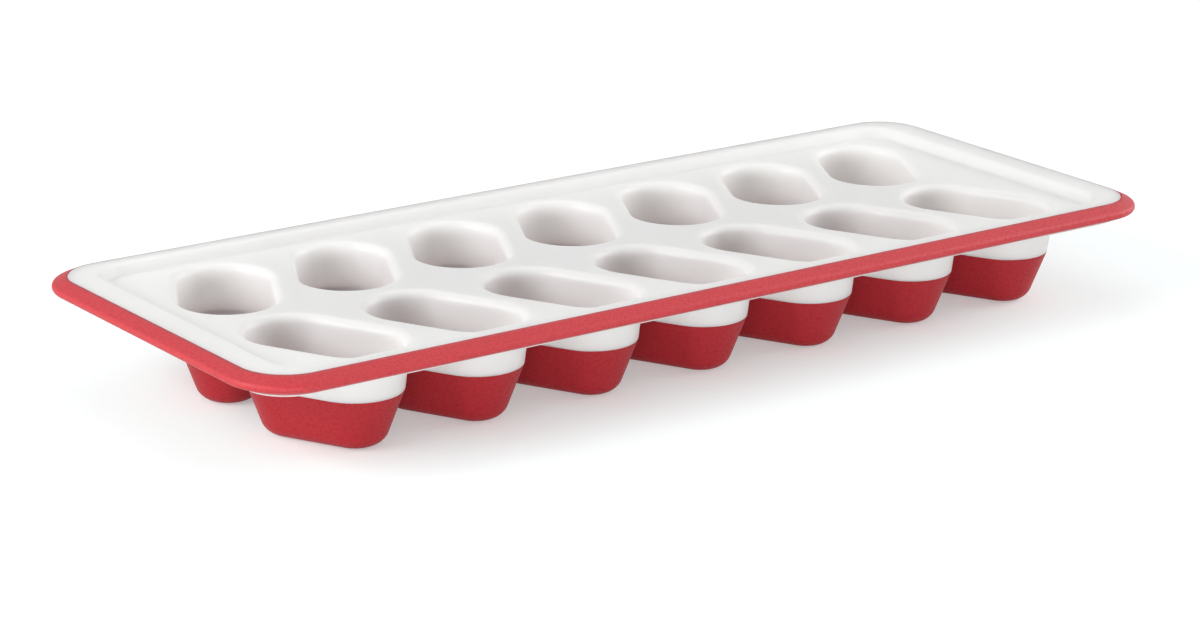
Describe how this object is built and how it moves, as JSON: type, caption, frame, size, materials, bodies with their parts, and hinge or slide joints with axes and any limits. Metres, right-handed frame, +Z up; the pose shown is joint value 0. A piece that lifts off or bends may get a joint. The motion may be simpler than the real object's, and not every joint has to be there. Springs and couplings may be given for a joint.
{
  "type": "ice cube tray",
  "caption": "Oblong ice cube tray: rigid recessed tray with leaning openings in two rows, soft rim grip and soft cup bottoms that push up to release the ice.",
  "frame": {"origin": "middle of the outline, on the plane that the cup floors stand on", "axes": "+X along the long side, +Y across the two rows, +Z up out of the openings"},
  "size_m": [0.325, 0.1274, 0.0327],
  "materials": {
    "white_plastic": "satin",
    "red_soft": "fine matt grain"
  },
  "bodies": {
    "tray": {"tray_body": "white_plastic", "rim_grip": "red_soft"},
    "cup_front_1": {"cup_front_1": "red_soft"},
    "cup_front_2": {"cup_front_2": "red_soft"},
    "cup_front_3": {"cup_front_3": "red_soft"},
    "cup_front_4": {"cup_front_4": "red_soft"},
    "cup_front_5": {"cup_front_5": "red_soft"},
    "cup_front_6": {"cup_front_6": "red_soft"},
    "cup_front_7": {"cup_front_7": "red_soft"},
    "cup_back_1": {"cup_back_1": "red_soft"},
    "cup_back_2": {"cup_back_2": "red_soft"},
    "cup_back_3": {"cup_back_3": "red_soft"},
    "cup_back_4": {"cup_back_4": "red_soft"},
    "cup_back_5": {"cup_back_5": "red_soft"},
    "cup_back_6": {"cup_back_6": "red_soft"},
    "cup_back_7": {"cup_back_7": "red_soft"}
  },
  "joints": [
    {"name": "push_front_1", "type": "slide", "parent": "tray", "child": "cup_front_1", "axis": [0, 0, 1], "range_m": [0, 0.008], "stiffness_N_per_m": 1500, "deforming": ["cup_front_1"]},
    {"name": "push_front_2", "type": "slide", "parent": "tray", "child": "cup_front_2", "axis": [0, 0, 1], "range_m": [0, 0.008], "stiffness_N_per_m": 1500, "deforming": ["cup_front_2"]},
    {"name": "push_front_3", "type": "slide", "parent": "tray", "child": "cup_front_3", "axis": [0, 0, 1], "range_m": [0, 0.008], "stiffness_N_per_m": 1500, "deforming": ["cup_front_3"]},
    {"name": "push_front_4", "type": "slide", "parent": "tray", "child": "cup_front_4", "axis": [0, 0, 1], "range_m": [0, 0.008], "stiffness_N_per_m": 1500, "deforming": ["cup_front_4"]},
    {"name": "push_front_5", "type": "slide", "parent": "tray", "child": "cup_front_5", "axis": [0, 0, 1], "range_m": [0, 0.008], "stiffness_N_per_m": 1500, "deforming": ["cup_front_5"]},
    {"name": "push_front_6", "type": "slide", "parent": "tray", "child": "cup_front_6", "axis": [0, 0, 1], "range_m": [0, 0.008], "stiffness_N_per_m": 1500, "deforming": ["cup_front_6"]},
    {"name": "push_front_7", "type": "slide", "parent": "tray", "child": "cup_front_7", "axis": [0, 0, 1], "range_m": [0, 0.008], "stiffness_N_per_m": 1500, "deforming": ["cup_front_7"]},
    {"name": "push_back_1", "type": "slide", "parent": "tray", "child": "cup_back_1", "axis": [0, 0, 1], "range_m": [0, 0.008], "stiffness_N_per_m": 1500, "deforming": ["cup_back_1"]},
    {"name": "push_back_2", "type": "slide", "parent": "tray", "child": "cup_back_2", "axis": [0, 0, 1], "range_m": [0, 0.008], "stiffness_N_per_m": 1500, "deforming": ["cup_back_2"]},
    {"name": "push_back_3", "type": "slide", "parent": "tray", "child": "cup_back_3", "axis": [0, 0, 1], "range_m": [0, 0.008], "stiffness_N_per_m": 1500, "deforming": ["cup_back_3"]},
    {"name": "push_back_4", "type": "slide", "parent": "tray", "child": "cup_back_4", "axis": [0, 0, 1], "range_m": [0, 0.008], "stiffness_N_per_m": 1500, "deforming": ["cup_back_4"]},
    {"name": "push_back_5", "type": "slide", "parent": "tray", "child": "cup_back_5", "axis": [0, 0, 1], "range_m": [0, 0.008], "stiffness_N_per_m": 1500, "deforming": ["cup_back_5"]},
    {"name": "push_back_6", "type": "slide", "parent": "tray", "child": "cup_back_6", "axis": [0, 0, 1], "range_m": [0, 0.008], "stiffness_N_per_m": 1500, "deforming": ["cup_back_6"]},
    {"name": "push_back_7", "type": "slide", "parent": "tray", "child": "cup_back_7", "axis": [0, 0, 1], "range_m": [0, 0.008], "stiffness_N_per_m": 1500, "deforming": ["cup_back_7"]}
  ]
}
